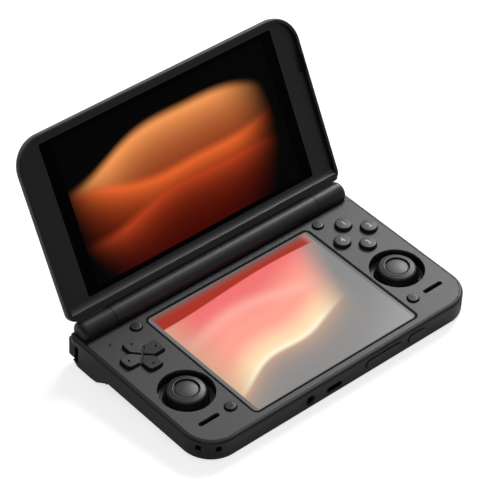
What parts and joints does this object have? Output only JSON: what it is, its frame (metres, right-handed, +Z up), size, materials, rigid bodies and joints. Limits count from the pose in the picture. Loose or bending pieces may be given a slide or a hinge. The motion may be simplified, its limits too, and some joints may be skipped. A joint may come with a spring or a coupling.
{
  "type": "handheld game console",
  "caption": "Clamshell handheld game console, grey deck with thumb sticks, direction pad and round buttons round a lower display, open dark lid with a wide upper display",
  "frame": {"origin": "centre of the flat underside of the base, midway between its front and rear walls", "axes": "+X to the player's right along the width, +Y from the front edge to the hinge, +Z up out of the deck"},
  "size_m": [0.1554, 0.1319, 0.0949],
  "materials": {
    "base_shell": "Fine-textured moulded plastic",
    "deck": "Grey satin coating, a slight pearl sheen",
    "keys": "Grey satin moulded plastic",
    "lid_shell": "Fine-textured moulded plastic",
    "dark_plastic": "Moulded plastic, semi matte",
    "stick_rubber": "Soft-touch rubber over a plastic cap",
    "gasket": "Soft black rubber",
    "silicone": "Grey translucent silicone",
    "glass": "Black-backed cover glass, polished",
    "panel": "Display panel with a dark film",
    "steel": "Turned and stamped steel",
    "board": "Green solder mask over glass laminate",
    "cell": "Foil wrapped pouch cell",
    "ribbon": "Amber polyimide ribbon",
    "clear_light": "Clear moulded light pipe"
  },
  "bodies": {
    "base": {"base_tray": "base_shell", "deck_plate": "deck", "lower_gasket": "gasket", "lower_glass": "glass", "lower_display": "panel", "main_board": "board", "processor_shield": "steel", "battery": "cell", "control_board_left": "board", "control_board_right": "board", "key_pad_left": "silicone", "key_pad_right": "silicone", "speaker_left": "dark_plastic", "speaker_right": "dark_plastic", "stick_housing_left": "dark_plastic", "stick_housing_right": "dark_plastic", "dpad_seat": "dark_plastic", "shoulder_pins": "steel", "shoulder_switches": "steel", "volume_pin": "steel", "port_board": "board", "audio_jack": "dark_plastic", "usb_port": "steel", "status_light": "clear_light", "hinge_sleeve_left": "steel", "hinge_sleeve_right": "steel", "rubber_feet": "gasket", "base_screws": "steel"},
    "lid": {"lid_cover": "lid_shell", "lid_bezel": "lid_shell", "lid_frame": "steel", "upper_glass": "glass", "upper_display": "panel", "hinge_barrel": "lid_shell", "hinge_shaft_left": "steel", "hinge_shaft_right": "steel", "display_flex": "ribbon", "lid_screws": "steel"},
    "stick_left_carrier": {"stick_slider_left": "dark_plastic"},
    "stick_left_gimbal": {"stick_gimbal_left": "steel"},
    "stick_left": {"stick_cap_left": "stick_rubber"},
    "stick_right_carrier": {"stick_slider_right": "dark_plastic"},
    "stick_right_gimbal": {"stick_gimbal_right": "steel"},
    "stick_right": {"stick_cap_right": "stick_rubber"},
    "dpad_ball": {"dpad_pivot": "steel"},
    "dpad": {"dpad_cross": "keys"},
    "action_rear": {"action_button_rear": "keys"},
    "action_right": {"action_button_right": "keys"},
    "action_front": {"action_button_front": "keys"},
    "action_left": {"action_button_left": "keys"},
    "menu_rear_left": {"menu_button_rear_left": "keys"},
    "menu_rear_right": {"menu_button_rear_right": "keys"},
    "menu_front_left": {"menu_button_front_left": "keys"},
    "menu_front_right": {"menu_button_front_right": "keys"},
    "shoulder_left": {"shoulder_button_left": "dark_plastic"},
    "trigger_left_lever": {"trigger_left": "dark_plastic"},
    "shoulder_right": {"shoulder_button_right": "dark_plastic"},
    "trigger_right_lever": {"trigger_right": "dark_plastic"},
    "power": {"power_button": "keys"},
    "volume": {"volume_rocker": "keys"}
  },
  "joints": [
    {"name": "lid_hinge", "type": "hinge", "parent": "base", "child": "lid", "pos_m": [0, 0.0405, 0.0123], "axis": [-1, 0, 0], "range_deg": [-118.7, 31.3]},
    {"name": "stick_left_click", "type": "slide", "parent": "base", "child": "stick_left_carrier", "axis": [0, 0, -1], "range_m": [0, 0.0003], "stiffness_N_per_m": 900},
    {"name": "stick_left_pitch", "type": "hinge", "parent": "stick_left_carrier", "child": "stick_left_gimbal", "pos_m": [-0.0607, -0.01265, 0.0036], "axis": [1, 0, 0], "range_deg": [-14, 14], "stiffness_Nm_per_rad": 0.02},
    {"name": "stick_left_roll", "type": "hinge", "parent": "stick_left_gimbal", "child": "stick_left", "pos_m": [-0.0607, -0.01265, 0.0036], "axis": [0, 1, 0], "range_deg": [-14, 14], "stiffness_Nm_per_rad": 0.02},
    {"name": "stick_right_click", "type": "slide", "parent": "base", "child": "stick_right_carrier", "axis": [0, 0, -1], "range_m": [0, 0.0003], "stiffness_N_per_m": 900},
    {"name": "stick_right_pitch", "type": "hinge", "parent": "stick_right_carrier", "child": "stick_right_gimbal", "pos_m": [0.0607, -0.01265, 0.0036], "axis": [1, 0, 0], "range_deg": [-14, 14], "stiffness_Nm_per_rad": 0.02},
    {"name": "stick_right_roll", "type": "hinge", "parent": "stick_right_gimbal", "child": "stick_right", "pos_m": [0.0607, -0.01265, 0.0036], "axis": [0, -1, 0], "range_deg": [-14, 14], "stiffness_Nm_per_rad": 0.02},
    {"name": "dpad_pitch", "type": "hinge", "parent": "base", "child": "dpad_ball", "pos_m": [-0.0618, 0.01495, 0.006], "axis": [1, 0, 0], "range_deg": [-3, 3], "stiffness_Nm_per_rad": 0.06},
    {"name": "dpad_roll", "type": "hinge", "parent": "dpad_ball", "child": "dpad", "pos_m": [-0.0618, 0.01495, 0.006], "axis": [0, 1, 0], "range_deg": [-3, 3], "stiffness_Nm_per_rad": 0.06},
    {"name": "action_rear_press", "type": "slide", "parent": "base", "child": "action_rear", "axis": [0, 0, -1], "range_m": [0, 0.0008], "stiffness_N_per_m": 450},
    {"name": "action_right_press", "type": "slide", "parent": "base", "child": "action_right", "axis": [0, 0, -1], "range_m": [0, 0.0008], "stiffness_N_per_m": 450},
    {"name": "action_front_press", "type": "slide", "parent": "base", "child": "action_front", "axis": [0, 0, -1], "range_m": [0, 0.0008], "stiffness_N_per_m": 450},
    {"name": "action_left_press", "type": "slide", "parent": "base", "child": "action_left", "axis": [0, 0, -1], "range_m": [0, 0.0008], "stiffness_N_per_m": 450},
    {"name": "menu_rear_left_press", "type": "slide", "parent": "base", "child": "menu_rear_left", "axis": [0, 0, -1], "range_m": [0, 0.0008], "stiffness_N_per_m": 450},
    {"name": "menu_rear_right_press", "type": "slide", "parent": "base", "child": "menu_rear_right", "axis": [0, 0, -1], "range_m": [0, 0.0008], "stiffness_N_per_m": 450},
    {"name": "menu_front_left_press", "type": "slide", "parent": "base", "child": "menu_front_left", "axis": [0, 0, -1], "range_m": [0, 0.0008], "stiffness_N_per_m": 450},
    {"name": "menu_front_right_press", "type": "slide", "parent": "base", "child": "menu_front_right", "axis": [0, 0, -1], "range_m": [0, 0.0008], "stiffness_N_per_m": 450},
    {"name": "shoulder_left_press", "type": "hinge", "parent": "base", "child": "shoulder_left", "pos_m": [-0.051, 0.0408, 0.0046], "axis": [0, 0, 1], "range_deg": [0, 2.3], "stiffness_Nm_per_rad": 0.4},
    {"name": "trigger_left_pull", "type": "hinge", "parent": "base", "child": "trigger_left_lever", "pos_m": [-0.051, 0.0408, 0.0003], "axis": [0, 0, 1], "range_deg": [0, 5.5], "stiffness_Nm_per_rad": 0.2},
    {"name": "shoulder_right_press", "type": "hinge", "parent": "base", "child": "shoulder_right", "pos_m": [0.051, 0.0408, 0.0046], "axis": [0, 0, -1], "range_deg": [0, 2.3], "stiffness_Nm_per_rad": 0.4},
    {"name": "trigger_right_pull", "type": "hinge", "parent": "base", "child": "trigger_right_lever", "pos_m": [0.051, 0.0408, 0.0003], "axis": [0, 0, -1], "range_deg": [0, 5.5], "stiffness_Nm_per_rad": 0.2},
    {"name": "power_press", "type": "slide", "parent": "base", "child": "power", "axis": [0, 1, 0], "range_m": [0, 0.0005], "stiffness_N_per_m": 800},
    {"name": "volume_tilt", "type": "hinge", "parent": "base", "child": "volume", "pos_m": [0.0221, -0.0429, 0.0056], "axis": [0, 0, 1], "range_deg": [-2.2, 2.2], "stiffness_Nm_per_rad": 0.1}
  ]
}
